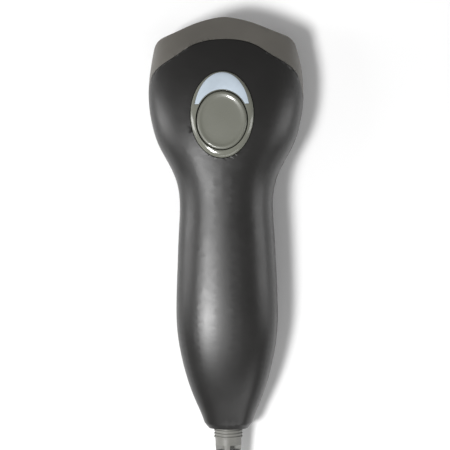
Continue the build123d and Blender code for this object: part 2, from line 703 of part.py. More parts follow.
def tact_switch():
    case = on_board(0, BUTTON_BACK, (SWITCH_SIDE, SWITCH_SIDE, SWITCH_TALL), 0.6)
    bore = Cylinder(PLUNGER_DIAMETER / 2 + 2 * SHAFT_GAP, 2 * SWITCH_BORE)
    return case - Pos(0, back(BUTTON_BACK), SWITCH_TOP) * bore


def switch_plunger():
    deep = SWITCH_BORE - BUTTON_TRAVEL - MOVING_GAP
    stem = Pos(0, back(BUTTON_BACK), (PLUNGER_TOP + SWITCH_TOP - deep) / 2)
    stem = stem * Cylinder(PLUNGER_DIAMETER / 2, PLUNGER_TOP - SWITCH_TOP + deep)
    return fillet(stem.edges().sort_by(Axis.Z)[-1:], 0.4)


def button_trim():
    """Oval surround, flanged under the shell, with holes for the button and the indicator lens."""
    plate = trim_column(0) & (housing(TRIM_PROUD) - housing(-WALL))
    flange = trim_column(TRIM_FLANGE) & (housing(-WALL) - housing(-WALL - TRIM_FLANGE_THICK))
    return plate + flange - button_column(SLIDE) - lens_column(LENS_GAP)


def indicator_lens():
    """Clear crescent that carries the status light to the top."""
    return lens_column(0) & (housing(LENS_PROUD) - housing(-WALL - TRIM_FLANGE_THICK))


def trigger_button():
    """Dished oval cap with a retaining flange under the trim and a post over the switch."""
    under = WALL + TRIM_FLANGE_THICK + MOVING_GAP
    deep = under + BUTTON_LIP_THICK
    cap = button_column(0) & (housing(BUTTON_PROUD) - housing(-deep))
    flange = button_column(SLIDE + BUTTON_LIP) & (housing(-under) - housing(-deep))
    hollow = button_column(-BUTTON_SKIN) & (housing(-BUTTON_SKIN) - housing(-2 * deep))
    crown = housing_at(BUTTON_BACK)[3]
    post_low = PLUNGER_TOP + MOVING_GAP
    post_high = crown - BUTTON_SKIN / 2
    post = Cylinder(BUTTON_POST / 2, post_high - post_low)
    post = Pos(0, back(BUTTON_BACK), (post_low + post_high) / 2) * post
    a = BUTTON_WIDTH / 2 - BUTTON_RIM
    b = BUTTON_LENGTH / 2 - BUTTON_RIM
    dish = Pos(0, back(BUTTON_BACK), crown + BUTTON_PROUD) * scale(Sphere(1.0), (a, b, BUTTON_DISH))
    return cap + flange - hollow + post - dish


def boot_profile(grow):
    """Half section of the strain relief about its axis: radius against distance behind the tail."""
    flange = BOOT_FLANGE_DIAMETER / 2 + grow
    neck = BOOT_NECK_DIAMETER / 2 + grow
    wall = TAIL_BAND + WALL
    ribs_end = BOOT_RIB_START + BOOT_RIBS * BOOT_RIB_PITCH
    inner_end = -wall - BOOT_FLANGE_THICK
    points = [(0, inner_end), (flange, inner_end), (flange, -wall), (neck, -wall)]
    points += [(neck, 0.2), (BOOT_DIAMETER / 2, 0.2), (BOOT_DIAMETER / 2, ribs_end + BOOT_PLAIN)]
    points += [(BOOT_END_DIAMETER / 2, BOOT_OUT), (0, BOOT_OUT)]
    return points


def boot_solid(grow):
    points = [(r, -d, 0) for r, d in boot_profile(grow)]
    face = face_from(Polyline(*points, close=True))
    solid = revolve(face, Axis((0, 0, 0), (0, 1, 0)), 360)
    return Pos(0, back(TAIL), BOOT_LEVEL) * solid


def cable_bore():
    """The cable's straight way through the boot and the clamp."""
    return Pos(0, back(TAIL), BOOT_LEVEL) * Rot(90, 0, 0) * Cylinder(CABLE_BORE, 4 * FAR)


def cable_boot():
    """Ribbed and slotted strain relief, moulded round the cable."""
    boot = boot_solid(0)
    axis = Pos(0, back(TAIL), BOOT_LEVEL) * Rot(90, 0, 0)
    for step in range(BOOT_RIBS):
        place = BOOT_RIB_START + (step + 0.5) * BOOT_RIB_PITCH
        rib = Pos(0, 0, place) * Cylinder(BOOT_RIB_DIAMETER / 2, 0.62 * BOOT_RIB_PITCH)
        boot = boot + axis * fillet(rib.edges().filter_by(GeomType.CIRCLE), 0.3)
    first = BOOT_RIB_START + BOOT_RIBS * BOOT_RIB_PITCH + BOOT_PLAIN
    core = CABLE_DIAMETER / 2 + 0.55
    window = Pos(BOOT_SPINE / 2 + FAR / 2, BOOT_SPINE / 2 + FAR / 2, 0) * Box(FAR, FAR, BOOT_SLOT_TALL)
    window = window - Cylinder(core, 2 * FAR)
    for row in range(BOOT_ROWS):
        place = first + BOOT_SLOT_TALL / 2 + row * BOOT_ROW_PITCH
        for quarter in range(4):
            boot = boot - axis * Pos(0, 0, place) * Rot(0, 0, 90 * quarter) * window
    return boot - cable_bore()


def cable_inside():
    """The cable's straight run through the boot and the clamp."""
    length = CABLE_IN + BOOT_OUT
    middle = TAIL + (BOOT_OUT - CABLE_IN) / 2
    return Pos(0, back(middle), BOOT_LEVEL) * Rot(90, 0, 0) * Cylinder(CABLE_DIAMETER / 2, length)


CLAMP_LONG = 5.0
CLAMP_WIDE = 15.4
CLAMP_TALL = 3.8
CLAMP_SEAT = 2.4  # screw heads above the cable's axis
CLAMP_SCREW_X = CABLE_DIAMETER / 2 + BOARD_SCREW[0] / 2 + 2.15
CLAMP_SCREWS = pair(CLAMP_SCREW_X, TAIL - CLAMP_FROM_TAIL)


def clamp_seat():
    """Saddle on the lower shell that carries the cable."""
    seat = Pos(0, back(TAIL - CLAMP_FROM_TAIL), BOOT_LEVEL - FAR / 2) * Box(CLAMP_WIDE, CLAMP_LONG, FAR)
    return seat - cable_bore()


def cable_clamp():
    bridge = Box(CLAMP_WIDE - 0.4, CLAMP_LONG, CLAMP_TALL)
    bridge = Pos(0, back(TAIL - CLAMP_FROM_TAIL), BOOT_LEVEL + CLAMP_TALL / 2) * bridge
    bridge = fillet(bridge.edges().filter_by(Axis.Y).sort_by(Axis.Z)[-2:], 1.6)
    for hole in posts(CLAMP_SCREWS, BOARD_SCREW[0] + 2 * CLEARANCE_HOLE):
        bridge = bridge - hole
    for sink in posts(CLAMP_SCREWS, BOARD_SCREW[1] + 2 * CLEARANCE_HOLE):
        bridge = bridge - (sink & above(BOOT_LEVEL + CLAMP_SEAT))
    return bridge - cable_bore()


HEADER_BACK = BOARD_END - 4.6
WIRES = 5
WIRE_PITCH = 2.0
WIRE_DIAMETER = 0.76
WIRE_LEVEL = BOARD_TOP + 2.4


def cable_header():
    return on_board(0, HEADER_BACK, (WIRES * WIRE_PITCH + 3, 5.6, 4.4), 0.3) - header_room()


def header_room():
    room = Box(WIRES * WIRE_PITCH + 1.2, 5.6, 3.0)
    return Pos(0, back(HEADER_BACK + 1.2), WIRE_LEVEL) * room


def crimp_plug():
    return Pos(0, back(HEADER_BACK + 2.1), WIRE_LEVEL) * Box(WIRES * WIRE_PITCH + 1.0, 7.0, 2.8)


def harness_wires():
    """Cores that fan out from the cable's end to the plug's ways."""
    wires = []
    plug_end = HEADER_BACK + 5.6
    cable_end = TAIL - CABLE_IN
    for step in range(WIRES):
        side = step - (WIRES - 1) / 2
        start = (side * WIRE_PITCH, back(plug_end), WIRE_LEVEL)
        first = (side * WIRE_PITCH, back(plug_end + 4), WIRE_LEVEL - 0.1)
        second = (side * 0.8, back(cable_end - 5), BOOT_LEVEL + 0.3)
        end = (side * 0.8, back(cable_end) + 0.05, BOOT_LEVEL + 0.1 * side)
        line = FilletPolyline(start, first, second, end, radius=[3.0, 3.0])
        heading = Vector(*first) - Vector(*start)
        disc = Plane(origin=start, z_dir=heading) * Circle(WIRE_DIAMETER / 2)
        wires.append(sweep(disc, path=line).solid())
    return Compound(children=wires)


def rating_label():
    """Blank label in the recess of the handle's underside."""
    plate = Box(LABEL_WIDTH, LABEL_LENGTH, LABEL_THICK)
    plate = fillet(plate.edges().filter_by(Axis.Z), 1.3)
    return Pos(0, back(LABEL_BACK), LABEL_RECESS - LABEL_THICK / 2) * plate


def screws(size, length, places, seats, turn=0):
    """Like screws at their places; seats is one height for all, or a height for each."""
    heights = seats if isinstance(seats, list) else [seats] * len(places)
    made = []
    for (x, s), seat in zip(places, heights):
        made.append((Pos(x, back(s), seat) * Rot(turn, 0, 0) * screw(size, length)).solid())
    return Compound(children=made)


# ------------------------------------------------------------------------------------- free cable
# Points of the route: x, distance behind the boot's end, height. The first run leaves the boot's end, and
# the last one of the lead runs into the coil; the tail leaves the coil and ends in the plug.
CABLE_EXIT = (0.0, back(TAIL + BOOT_OUT), BOOT_LEVEL)
FLOOR = CABLE_DIAMETER / 2 + 0.05
LEAD_ROUTE = [(0, 0, BOOT_LEVEL), (0, 12, BOOT_LEVEL), (2.5, 31, FLOOR)]
LEAD_ROUTE += [(9, 50, FLOOR), (17.5, 68, FLOOR), (19.7, 86, FLOOR)]
PLUG_CENTRE = (-48.5, 24.0)
TAIL_ROUTE = [(-55.7, 86, 6.8), (-56.2, 75, 6.6), (-53.5, 64, 5.2), (-49.8, 55.5, 4.1), (-48.5, 46.5, 3.95)]


def free_point(point):
    x, behind, z = point
    return (x, CABLE_EXIT[1] - behind, z)


def corner_radii(points):
    """Largest tangent arc at each corner that leaves a tenth of the shorter run straight."""
    radii = []
    for a, b, c in zip(points, points[1:], points[2:]):
        one = Vector(*b) - Vector(*a)
        two = Vector(*c) - Vector(*b)
        half_turn = math.radians(one.get_angle(two)) / 2
        radii.append(0.45 * min(one.length, two.length) / math.tan(half_turn))
    return radii


def cable_run(route, name):
    points = [free_point(point) for point in route]
    radii = corner_radii(points)
    line = FilletPolyline(*points, radius=radii)
    heading = Vector(*points[1]) - Vector(*points[0])
    disc = Plane(origin=points[0], z_dir=heading) * Circle(CABLE_DIAMETER / 2)
    tube = sweep(disc, path=line)
    plain = math.pi * CABLE_DIAMETER ** 2 / 4 * line.length
    print(name, "radii", [round(r, 1) for r in radii], "length", round(line.length, 1), "volume ratio",
          round(tube.volume / plain, 4))
    return tube


def cable_coil():
    """Outer shape of the put-away turns."""
    ring = Pos(COIL_DIAMETER / 2, 0) * RectangleRounded(COIL_WIDE, COIL_TALL, 2.2)
    solid = revolve(Plane.XZ * ring, Axis.Z, 360)
    return Pos(*free_point((*COIL_CENTRE, COIL_TALL / 2))) * solid


def coil_tie():
    """Hook-and-loop strap round the bundle, at the side away from the scanner."""
    outside = Box(TIE_WIDTH, COIL_WIDE + 2 * TIE_THICK, COIL_TALL + TIE_THICK)
    inside = Box(2 * TIE_WIDTH, COIL_WIDE, COIL_TALL)
    far_side = COIL_CENTRE[1] + COIL_DIAMETER / 2
    place = Pos(*free_point((COIL_CENTRE[0], far_side, (COIL_TALL + TIE_THICK) / 2)))
    strap = fillet(outside.edges().filter_by(Axis.X).sort_by(Axis.Z)[-2:], 2.4)
    hollow = Pos(0, 0, -TIE_THICK / 2 + 0.01) * inside
    return place * (strap - hollow)


PLUG = Pos(*free_point((*PLUG_CENTRE, PLUG_BODY[2] / 2 + 0.05)))


def usb_plug_body():
    body = Box(*PLUG_BODY)
    body = fillet(body.edges().filter_by(Axis.Y), 1.6)
    neck = Pos(0, -PLUG_BODY[1] / 2 - PLUG_NECK[1] / 2, 0) * Rot(90, 0, 0)
    neck = neck * Cone(PLUG_BODY[2] / 2 - 0.4, PLUG_NECK[0] / 2 - 0.8, PLUG_NECK[1])
    core = Box(PLUG_SHELL[0], 2 * (PLUG_SHELL[1] - PLUG_SHELL_OUT), PLUG_SHELL[2])
    core = Pos(0, PLUG_BODY[1] / 2, 0) * core
    return PLUG * (body + neck - core)


def usb_plug_shell():
    start = PLUG_BODY[1] / 2 - (PLUG_SHELL[1] - PLUG_SHELL_OUT)
    tube = Box(*PLUG_SHELL)
    inside = Box(PLUG_SHELL[0] - 2 * PLUG_SHELL_WALL, 2 * PLUG_SHELL[1], PLUG_SHELL[2] - 2 * PLUG_SHELL_WALL)
    tube = tube - inside
    for x in (-2.4, 2.4):
        tube = tube - Pos(x, PLUG_SHELL[1] / 2 - 5.2, PLUG_SHELL[2] / 2) * Box(2.4, 2.4, 2.0)
    return PLUG * Pos(0, start + PLUG_SHELL[1] / 2, 0) * tube


def usb_plug_tongue():
    start = PLUG_BODY[1] / 2 - (PLUG_SHELL[1] - PLUG_SHELL_OUT)
    width = PLUG_SHELL[0] - 2 * PLUG_SHELL_WALL
    tongue = Box(width, PLUG_SHELL[1] - 0.6, 1.84)
    low = -PLUG_SHELL[2] / 2 + PLUG_SHELL_WALL + 0.92
    return PLUG * Pos(0, start + (PLUG_SHELL[1] - 0.6) / 2, low) * tongue


def usb_contacts():
    start = PLUG_BODY[1] / 2
    top = -PLUG_SHELL[2] / 2 + PLUG_SHELL_WALL + 1.84
    strips = []
    for x, length in ((-3.5, 9.0), (-1.0, 8.0), (1.0, 8.0), (3.5, 9.0)):
        strip = Pos(x, start + length / 2 + 1.0, top + 0.1) * Box(1.2, length, 0.2)
        strips.append((PLUG * strip).solid())
    return Compound(children=strips)


# ------------------------------------------------------------------------------------- write the nodes
body = hollow_body()
nodes = {
    "upper_shell": upper_shell(body),
    "lower_shell": lower_shell(body),
    "nose_cover": nose_cover(body),
    "scan_hood": scan_hood(),
    "scan_window": scan_window(),
    "window_gasket": window_gasket(),
    "light_spreader": light_spreader(),
    "illumination_leds": illumination_leds(),
    "led_board": led_board(),
    "led_ribbon": led_ribbon(),
    "optics_chassis": optics_chassis(),
    "sensor_board": sensor_board(),
    "image_sensor": image_sensor(),
    "sensor_pins": sensor_pins(),
    "lens_barrel": lens_barrel(),
    "lens_glass": lens_glass(),
    "main_board": main_board(),
    "processor_chip": processor_chip(),
    "memory_chip": small_chip(MEMORY_BACK, (5.0, 6.0, 1.5), 4),
    "interface_chip": small_chip(INTERFACE_BACK, (4.0, 10.0, 1.5), 7),
    "crystal": crystal(),
    "buzzer": buzzer(),
    "capacitors": capacitors(),
    "small_passives": small_passives(),
    "status_leds": status_leds(),
    "tact_switch": tact_switch(),
    "switch_plunger": switch_plunger(),
    "button_trim": button_trim(),
    "indicator_lens": indicator_lens(),
    "trigger_button": trigger_button(),
    "cable_boot": cable_boot(),
    "cable_inside": cable_inside(),
    "cable_clamp": cable_clamp(),
    "cable_header": cable_header(),
    "crimp_plug": crimp_plug(),
    "harness_wires": harness_wires(),
    "rating_label": rating_label(),
    "housing_screws": screws(HOUSING_SCREW, SCREW_LENGTH, HOUSING_SCREWS, HOUSING_SEATS, 180),
    "board_screws": screws(BOARD_SCREW, BOARD_SCREW_LENGTH, BOARD_SCREWS, BOARD_TOP),
    "chassis_screws": screws(BOARD_SCREW, CHASSIS_SCREW_LENGTH, CHASSIS_SCREWS, CHASSIS_FLOOR + CHASSIS_LIP),
    "clamp_screws": screws(BOARD_SCREW, CLAMP_SCREW_LENGTH, CLAMP_SCREWS, BOOT_LEVEL + CLAMP_SEAT),
    "cable_lead": cable_run(LEAD_ROUTE, "lead"),
    "cable_tail": cable_run(TAIL_ROUTE, "tail"),
    "cable_coil": cable_coil(),
    "coil_tie": coil_tie(),
    "usb_plug_body": usb_plug_body(),
    "usb_plug_shell": usb_plug_shell(),
    "usb_plug_tongue": usb_plug_tongue(),
    "usb_contacts": usb_contacts(),
}
for name, shape in nodes.items():
    export_step(shape, f"parts/{name}.step")
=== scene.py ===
import math

import bpy
import numpy as np
from bpy.props import FloatProperty, FloatVectorProperty, IntProperty, PointerProperty
from mathutils import Matrix, Vector
from mathutils.bvhtree import BVHTree


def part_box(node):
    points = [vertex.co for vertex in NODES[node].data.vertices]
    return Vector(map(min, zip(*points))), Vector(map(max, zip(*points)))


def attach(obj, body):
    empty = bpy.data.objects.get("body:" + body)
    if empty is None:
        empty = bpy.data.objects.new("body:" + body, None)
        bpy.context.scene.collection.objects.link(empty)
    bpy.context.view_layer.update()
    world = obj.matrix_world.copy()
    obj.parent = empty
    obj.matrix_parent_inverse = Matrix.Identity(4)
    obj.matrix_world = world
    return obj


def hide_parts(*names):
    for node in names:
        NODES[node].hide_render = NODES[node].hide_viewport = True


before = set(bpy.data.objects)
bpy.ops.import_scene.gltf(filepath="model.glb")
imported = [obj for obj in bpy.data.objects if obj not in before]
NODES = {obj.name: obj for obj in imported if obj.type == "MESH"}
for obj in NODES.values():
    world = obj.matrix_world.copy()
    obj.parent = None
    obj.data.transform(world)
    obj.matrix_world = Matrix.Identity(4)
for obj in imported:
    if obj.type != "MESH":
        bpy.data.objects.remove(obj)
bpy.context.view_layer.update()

bl_info = {
    "name": "Handheld barcode scanner",
    "version": (1, 0, 0),
    "blender": (4, 5, 0),
    "location": "View3D > Sidebar > Scanner",
    "description": "Finishes and fine pieces of a corded handheld barcode scanner, around its packed frame",
    "category": "Object",
}

MM = 0.001


# ------------------------------------------------------------------ places taken from the frame
def middle(node):
    low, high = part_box(node)
    return (low + high) / 2


BOOT_LOW, BOOT_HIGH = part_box("cable_boot")
CABLE_EXIT = Vector((0.0, BOOT_LOW.y, middle("cable_boot").z))


# ------------------------------------------------------------------ settings
class ScannerSizes(bpy.types.PropertyGroup):
    cable_diameter: FloatProperty(
        name="Cable diameter", description="Outer diameter of the cable's jacket",
        default=4.5 * MM, unit="LENGTH")
    coil_turns: FloatProperty(
        name="Coil turns", description="Turns of the put-away cable, in two layers", default=9.5)
    turn_points: IntProperty(
        name="Points a turn", description="Control points in each turn of the coil", default=14)
    grain: FloatProperty(
        name="Grain", description="Size of the moulded grain of the black housing",
        default=0.55 * MM, unit="LENGTH")


class ScannerColours(bpy.types.PropertyGroup):
    housing: FloatVectorProperty(
        name="Housing", description="Black of the two shells",
        default=(0.013, 0.0125, 0.012), subtype="COLOR")
    nose: FloatVectorProperty(
        name="Nose", description="Warm grey of the nose cover",
        default=(0.105, 0.099, 0.088), subtype="COLOR")
    trim: FloatVectorProperty(
        name="Trim", description="Grey of the button and its surround",
        default=(0.155, 0.158, 0.132), subtype="COLOR")
    lens: FloatVectorProperty(
        name="Indicator", description="Pale blue white of the indicator lens",
        default=(0.41, 0.47, 0.53), subtype="COLOR")
    boot: FloatVectorProperty(
        name="Strain relief", description="Warm grey of the strain relief",
        default=(0.19, 0.188, 0.172), subtype="COLOR")


def sizes():
    return bpy.context.scene.scanner_sizes


def colours():
    return bpy.context.scene.scanner_colours


# ------------------------------------------------------------------ shader helpers
class Field:
    """A number that varies over the surface: a socket whose operators add Math nodes."""

    def __init__(self, shader, socket):
        self.shader = shader
        self.socket = socket

    def _math(self, operation, *values):
        return self.shader.node("ShaderNodeMath", {"operation": operation}, dict(enumerate(values)))

    def __add__(self, other):
        return self._math("ADD", self, other)

    __radd__ = __add__

    def __sub__(self, other):
        return self._math("SUBTRACT", self, other)

    def __rsub__(self, other):
        return self._math("SUBTRACT", other, self)

    def __mul__(self, other):
        return self._math("MULTIPLY", self, other)

    __rmul__ = __mul__

    def __gt__(self, other):
        return self._math("GREATER_THAN", self, other)

    def __lt__(self, other):
        return self._math("LESS_THAN", self, other)

    def part(self, name):
        """One output of the node that this field comes from."""
        return Field(self.shader, self.socket.node.outputs[name])


class Finish:
    """One material: a Principled shader with the nodes that drive it."""

    def __init__(self, name, **constants):
        self.material = bpy.data.materials.new(name)
        self.material.use_nodes = True
        self.tree = self.material.node_tree
        self.shader = self.tree.nodes["Principled BSDF"]
        self.set(**constants)

    def set(self, **values):
        for name, value in values.items():
            self._plug(self.shader.inputs[name.replace("_", " ").title().replace("Ior", "IOR")], value)

    def _plug(self, socket, value):
        if isinstance(value, Field):
            self.tree.links.new(value.socket, socket)
        elif socket.type == "RGBA":
            socket.default_value = (*value[:3], 1.0)
        else:
            socket.default_value = value

    def node(self, kind, settings=None, inputs=None, output=0):
        made = self.tree.nodes.new(kind)
        for name, value in (settings or {}).items():
            setattr(made, name, value)
        for name, value in (inputs or {}).items():
            self._plug(made.inputs[name], value)
        return Field(self, made.outputs[output])

    def place(self, scale=(1.0, 1.0, 1.0)):
        """Object coordinates, scaled."""
        here = self.node("ShaderNodeTexCoord", output="Object")
        return self.node("ShaderNodeMapping", {"vector_type": "POINT"}, {"Vector": here, "Scale": scale})

    def noise(self, size, detail=2.0, rough=0.5, vector=None):
        """Noise whose features are about this large, in metres."""
        return self.node("ShaderNodeTexNoise", {"noise_dimensions": "3D"}, {
            "Vector": vector or self.place(), "Scale": 1.0 / size, "Detail": detail, "Roughness": rough})

    def cells(self, size, vector=None):
        return self.node("ShaderNodeTexVoronoi", {"feature": "F1"},
                         {"Vector": vector or self.place(), "Scale": 1.0 / size})

    def span(self, value, low, high, to_low=0.0, to_high=1.0):
        """A value's range from low to high, spread over to_low to to_high."""
        return self.node("ShaderNodeMapRange", {"clamp": True}, {
            "Value": value, "From Min": low, "From Max": high, "To Min": to_low, "To Max": to_high})

    def blend(self, share, first, second):
        """Mix of two colours."""
        mix = self.tree.nodes.new("ShaderNodeMix")
        mix.data_type = "RGBA"
        for socket, value in ((mix.inputs[0], share), (mix.inputs[6], first), (mix.inputs[7], second)):
            self._plug(socket, value)
        return Field(self, mix.outputs[2])

    def bump(self, height, depth, strength):
        """Relief of a height field, this deep in metres."""
        return self.node("ShaderNodeBump", None, {"Height": height, "Distance": depth, "Strength": strength})


def tint(colour, share):
    return tuple(min(1.0, part * share) for part in colour)


# ------------------------------------------------------------------ finishes
def moulded(name, colour, grain, roughness, depth, coat=0.0, uneven=0.12):
    """Moulded plastic: fine grain, a little unevenness of tone, and handling marks in the gloss."""
    finish = Finish(name, metallic=0.0, ior=1.5, coat_weight=coat, coat_roughness=0.25)
    fine = finish.noise(grain, 1.0, 0.5)
    broad = finish.noise(0.03, 3.0, 0.55)
    smear = finish.noise(0.011, 5.0, 0.62)
    tone = finish.span(broad, 0.3, 0.7)
    finish.set(
        base_color=finish.blend(tone, tint(colour, 1.0 - uneven), tint(colour, 1.0 + uneven)),
        roughness=finish.span(smear, 0.35, 0.75, roughness - 0.04, roughness + 0.06) + (fine - 0.5) * 0.05,
        normal=finish.bump(fine, depth, 0.6),
    )
    return finish.material


def black_housing():
    grain = sizes().grain
    finish = Finish("black_housing", metallic=0.0, ior=1.5)
    fine = finish.cells(grain)
    speck = finish.noise(0.35 * grain, 1.0, 0.6)
    broad = finish.noise(0.035, 3.0, 0.55)
    smear = finish.noise(0.012, 5.0, 0.6)
    texture = fine.part("Distance") * 0.7 + speck * 0.3
    base = colours().housing
    finish.set(
        base_color=finish.blend(finish.span(broad, 0.3, 0.7), tint(base, 0.86), tint(base, 1.18)),
        roughness=finish.span(smear, 0.3, 0.75, 0.33, 0.40) + (speck - 0.5) * 0.06,
        normal=finish.bump(texture, 0.012 * MM, 0.55),
    )
    return finish.material


def glossy(name, colour, roughness=0.16, coat=0.35):
    """Polished moulded plastic with faint swirls and dust."""
    finish = Finish(name, metallic=0.0, ior=1.5, coat_weight=coat, coat_roughness=0.06)
    swirl = finish.noise(0.006, 5.0, 0.65)
    dust = finish.span(finish.noise(0.0011, 2.0, 0.7), 0.62, 0.8)
    finish.set(
        base_color=finish.blend(dust * 0.25, colour, tint(colour, 1.5)),
        roughness=finish.span(swirl, 0.3, 0.75, roughness - 0.04, roughness + 0.08) + dust * 0.1,
        normal=finish.bump(finish.noise(0.004, 3.0, 0.5), 0.01 * MM, 0.25),
    )
    return finish.material


def frosted_lens():
    finish = Finish(
        "frosted_lens", metallic=0.0, ior=1.49, roughness=0.22, coat_weight=0.5, coat_roughness=0.08)
    base = colours().lens
    flow = finish.noise(0.008, 3.0, 0.5)
    finish.set(
        base_color=finish.blend(finish.span(flow, 0.3, 0.7), tint(base, 0.9), tint(base, 1.12)),
        # Painted glow: the lens emits its own colour faintly, though no lamp lights it.
        emission_color=base, emission_strength=0.12,
        normal=finish.bump(finish.noise(0.0008, 2.0, 0.5), 0.01 * MM, 0.3),
    )
    return finish.material


def soft_rubber(name, colour, roughness=0.55):
    finish = Finish(name, metallic=0.0, ior=1.45)
    fine = finish.noise(0.0004, 2.0, 0.6)
    broad = finish.noise(0.01, 4.0, 0.6)
    finish.set(
        base_color=finish.blend(finish.span(broad, 0.3, 0.7), tint(colour, 0.86), tint(colour, 1.12)),
        roughness=finish.span(broad, 0.3, 0.7, roughness - 0.06, roughness + 0.08),
        normal=finish.bump(fine, 0.02 * MM, 0.6),
    )
    return finish.material


def metal(name, colour, roughness, grain=(1.0, 12.0, 1.0)):
    """Plated sheet with a fine brushed direction."""
    finish = Finish(name, metallic=1.0)
    brush = finish.noise(0.0012, 4.0, 0.65, finish.place(scale=grain))
    finish.set(
        base_color=finish.blend(brush, tint(colour, 0.82), tint(colour, 1.08)),
        roughness=finish.span(brush, 0.3, 0.7, roughness - 0.06, roughness + 0.1),
        normal=finish.bump(brush, 0.008 * MM, 0.5),
    )
    return finish.material


def dark_red_glass():
    finish = Finish("dark_red_glass", metallic=0.0, ior=1.5, coat_weight=0.6, coat_roughness=0.03)
    smear = finish.noise(0.009, 4.0, 0.6)
    finish.set(
        base_color=finish.blend(smear, (0.035, 0.004, 0.005), (0.07, 0.007, 0.008)),
        roughness=finish.span(smear, 0.35, 0.75, 0.05, 0.14),
    )
    return finish.material


def optical_glass():
    finish = Finish("optical_glass", metallic=0.0, ior=1.6, coat_weight=0.8, coat_roughness=0.02)
    bloom = finish.noise(0.003, 2.0, 0.5)
    finish.set(
        base_color=finish.blend(bloom, (0.03, 0.05, 0.10), (0.08, 0.03, 0.10)),
        roughness=finish.span(bloom, 0.3, 0.7, 0.03, 0.07),
    )
    return finish.material


def circuit_board():
    """Green solder mask with traces and pads."""
    finish = Finish("circuit_board", metallic=0.0, ior=1.5, coat_weight=0.3, coat_roughness=0.15)
    place = finish.place()
    lanes = finish.node("ShaderNodeTexWave", {"wave_type": "BANDS", "bands_direction": "X"}, {
        "Vector": place, "Scale": 260.0, "Distortion": 3.0, "Detail": 1.0, "Detail Scale": 0.25})
    trace = lanes > 0.62
    pads = finish.cells(0.0042, place).part("Distance") < 0.12
    mask = finish.blend(trace, (0.008, 0.075, 0.03), (0.014, 0.12, 0.048))
    finish.set(
        base_color=finish.blend(pads, mask, (0.62, 0.55, 0.35)),
        metallic=pads * 0.9,
        roughness=finish.span(finish.noise(0.002), 0.3, 0.7, 0.28, 0.4),
        normal=finish.bump(trace * 0.5 + pads * 0.5, 0.03 * MM, 0.5),
    )
    return finish.material


def chip_package():
    finish = Finish("chip_package", metallic=0.0, ior=1.5)
    fine = finish.noise(0.00025, 2.0, 0.6)
    finish.set(
        base_color=finish.blend(fine, (0.012, 0.012, 0.013), (0.028, 0.028, 0.029)),
        roughness=finish.span(fine, 0.3, 0.7, 0.5, 0.68),
        normal=finish.bump(fine, 0.01 * MM, 0.5),
    )
    return finish.material


def woven_strap():
    """Hook-and-loop strap: loops in fine rows."""
    finish = Finish("woven_strap", metallic=0.0, ior=1.4, sheen_weight=0.4)
    place = finish.place()
    rows = finish.node("ShaderNodeTexWave", {"wave_type": "BANDS", "bands_direction": "X"}, {
        "Vector": place, "Scale": 900.0, "Distortion": 1.0, "Detail": 1.0})
    loops = finish.cells(0.0007, place).part("Distance")
    finish.set(
        base_color=finish.blend(loops, (0.012, 0.012, 0.013), (0.05, 0.05, 0.052)),
        roughness=finish.span(rows, 0.0, 1.0, 0.75, 0.92),
        normal=finish.bump(rows * 0.5 + loops, 0.12 * MM, 0.8),
    )
    return finish.material


def blank_paper():
    finish = Finish("blank_paper", metallic=0.0, ior=1.45)
    fibre = finish.noise(0.0009, 4.0, 0.7)
    finish.set(
        base_color=finish.blend(fibre, (0.62, 0.62, 0.60), (0.72, 0.72, 0.70)),
        roughness=finish.span(fibre, 0.3, 0.7, 0.38, 0.5),
        normal=finish.bump(fibre, 0.01 * MM, 0.4),
    )
    return finish.material


# ------------------------------------------------------------------ mesh helpers
def nothing_selected():
    if bpy.context.object and bpy.context.object.mode != "OBJECT":
        bpy.ops.object.mode_set(mode="OBJECT")
    bpy.ops.object.select_all(action="DESELECT")


def only(piece):
    nothing_selected()
    piece.select_set(True)
    bpy.context.view_layer.objects.active = piece


def settle(piece, angle):
    """Puts the piece's place into its mesh and shades it smooth up to an angle."""
    only(piece)
    bpy.ops.object.transform_apply(location=True, rotation=True, scale=True)
    bpy.ops.object.shade_smooth_by_angle(angle=math.radians(angle))


def finish_piece(piece, body, slot_name, material, *nodes):
    """Gives a piece its material, hides the CAD nodes that it stands for and hangs it on the body that it
    rides. The slot name is not used.
    """
    piece.data.materials.clear()
    piece.data.materials.append(material)
    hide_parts(*nodes)
    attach(piece, body)


def apply_modifier(piece, kind, **settings):
    """Adds a modifier to a piece and applies it."""
    only(piece)
    modifier = piece.modifiers.new(kind.lower(), kind)
    for name, value in settings.items():
        setattr(modifier, name, value)
    bpy.ops.object.modifier_apply(modifier=modifier.name)


JOIN = 0.03 * MM  # corners nearer than this become one
SHELL_SMOOTH = 12.0  # edges of the shells that turn by more than this, in degrees, stay sharp


def merged_copy(node, name):
    """A CAD node's shape with its loose triangles joined, so that it shades smoothly."""
    piece = bpy.data.objects.new(name, NODES[node].data.copy())
    bpy.context.scene.collection.objects.link(piece)
    only(piece)
    bpy.ops.object.mode_set(mode="EDIT")
    bpy.ops.mesh.select_all(action="SELECT")
    bpy.ops.mesh.remove_doubles(threshold=JOIN)
    bpy.ops.mesh.dissolve_degenerate(threshold=2 * JOIN)
    bpy.ops.object.mode_set(mode="OBJECT")
    bpy.ops.object.shade_smooth_by_angle(angle=math.radians(SHELL_SMOOTH))
    apply_modifier(piece, "WEIGHTED_NORMAL", mode="FACE_AREA", keep_sharp=True)
    return piece


def cut(piece, tool, operation="DIFFERENCE"):
    """Cuts a piece with another, or keeps what they share, and deletes the tool."""
    apply_modifier(piece, "BOOLEAN", object=tool, operation=operation, solver="EXACT")
    bpy.data.objects.remove(tool)


